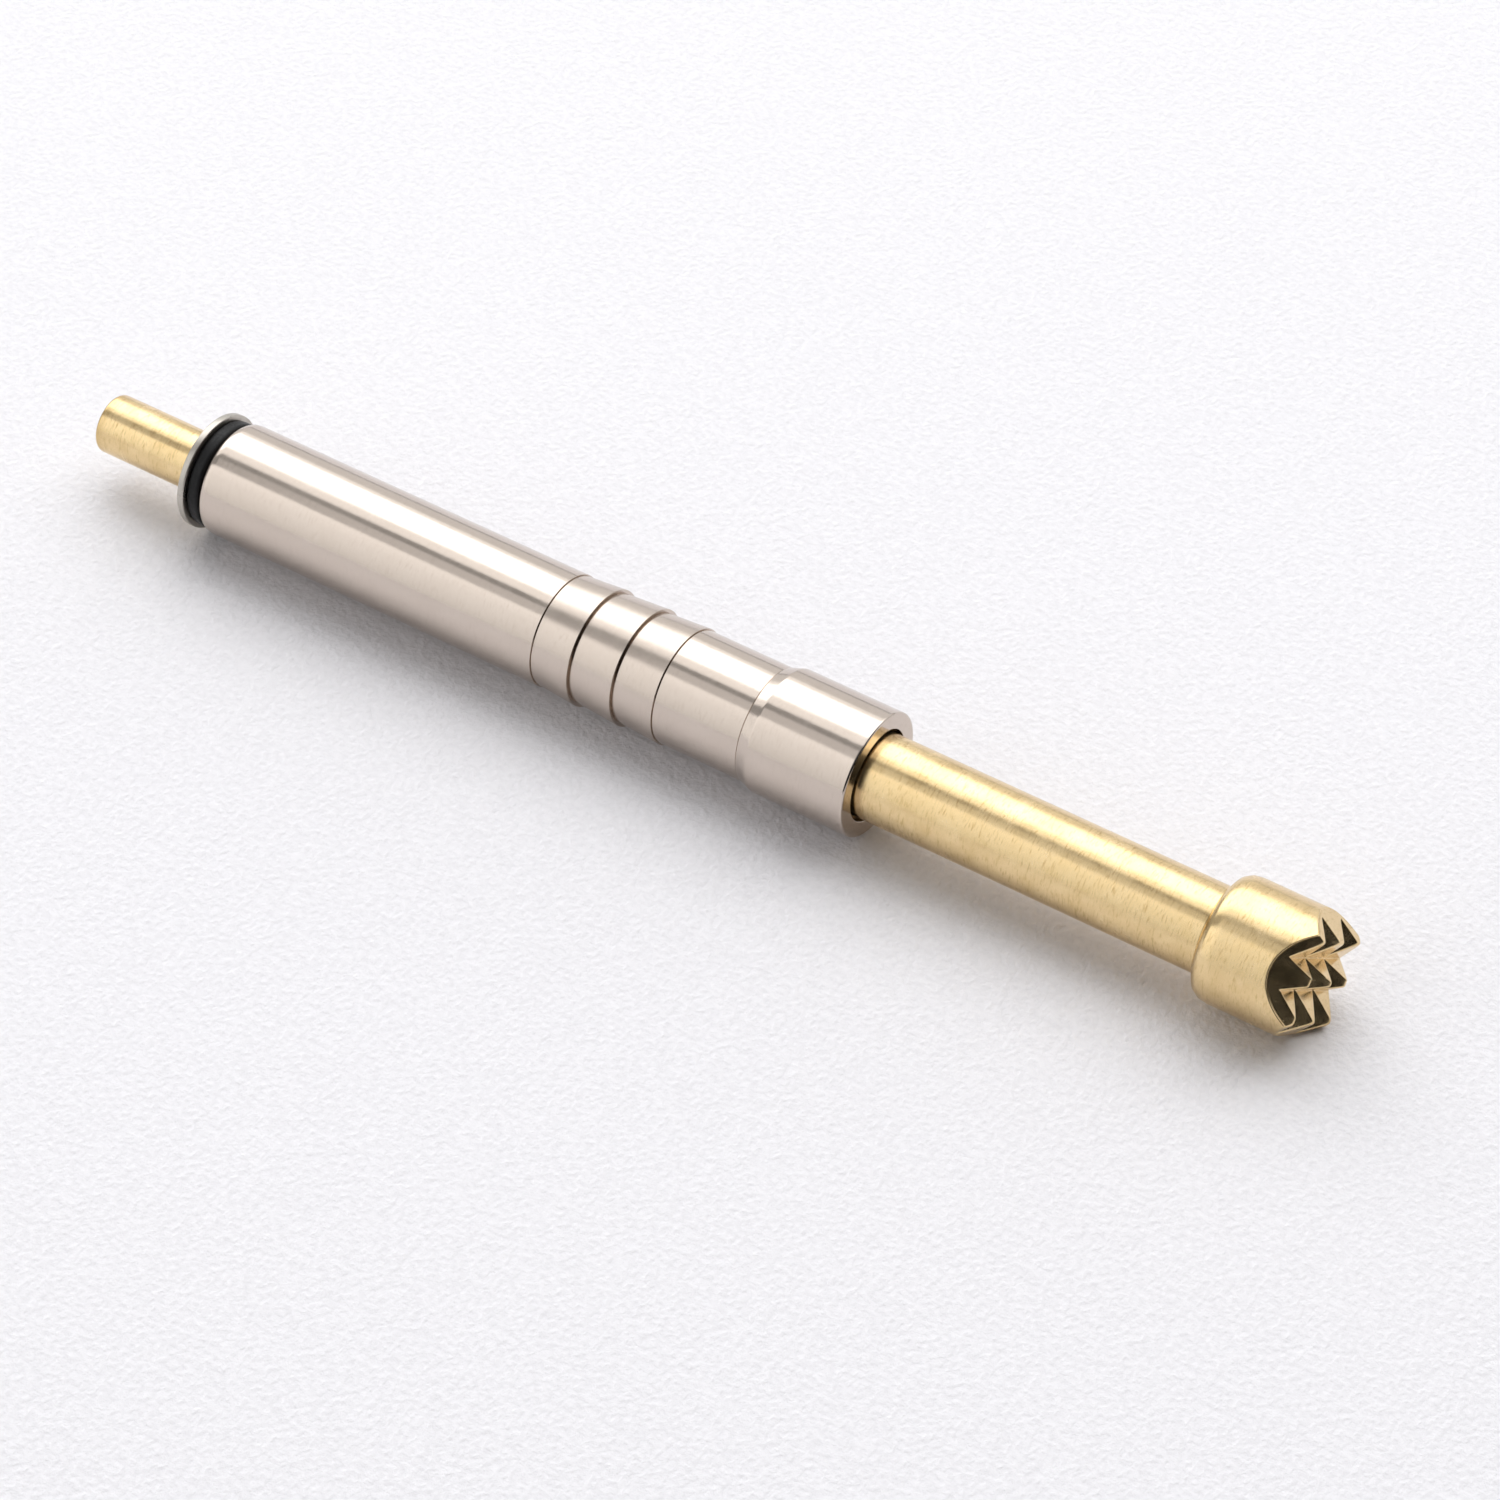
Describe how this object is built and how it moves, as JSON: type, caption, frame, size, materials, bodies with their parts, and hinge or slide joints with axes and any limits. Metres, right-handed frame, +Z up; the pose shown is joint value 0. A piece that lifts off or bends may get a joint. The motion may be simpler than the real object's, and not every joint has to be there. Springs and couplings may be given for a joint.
{
  "type": "spring-loaded contact probe",
  "caption": "High-current spring probe: a nickel barrel with barbs and a stop collar holds a sprung, gold-plated plunger with a serrated head in front and a clipped tail behind.",
  "frame": {"origin": "on the probe's axis at the rear edge of the barrel's stop collar, where a drilled plate stops the barrel", "axes": "+X along the axis towards the contact head, +Z up, +Y to the left when looking along +X"},
  "size_m": [0.0472, 0.0044, 0.0044],
  "materials": {
    "nickel_plate": "satin nickel plate",
    "gold_plate": "satin gold plate over brass",
    "plain_brass": "turned brass",
    "spring_steel": "bright spring steel",
    "black_rubber": "matte black rubber"
  },
  "bodies": {
    "barrel_body": {"barrel": "nickel_plate", "front_guide_bush": "plain_brass", "rear_guide_bush": "plain_brass", "plunger_spring": "spring_steel"},
    "spring_seat": {"spring_seat_washer": "spring_steel"},
    "plunger": {"plunger_shaft": "gold_plate", "contact_head": "gold_plate", "damper_ring": "black_rubber", "retaining_clip": "spring_steel"}
  },
  "joints": [
    {"name": "plunger_slide", "type": "slide", "parent": "barrel_body", "child": "spring_seat", "axis": [-1, 0, 0], "range_m": [0, 0.01], "stiffness_N_per_m": 640, "springref_m": -0.003, "deforming": ["plunger_spring"]},
    {"name": "plunger_spin", "type": "hinge", "parent": "spring_seat", "child": "plunger", "pos_m": [0, 0, 0], "axis": [1, 0, 0], "continuous": true}
  ]
}
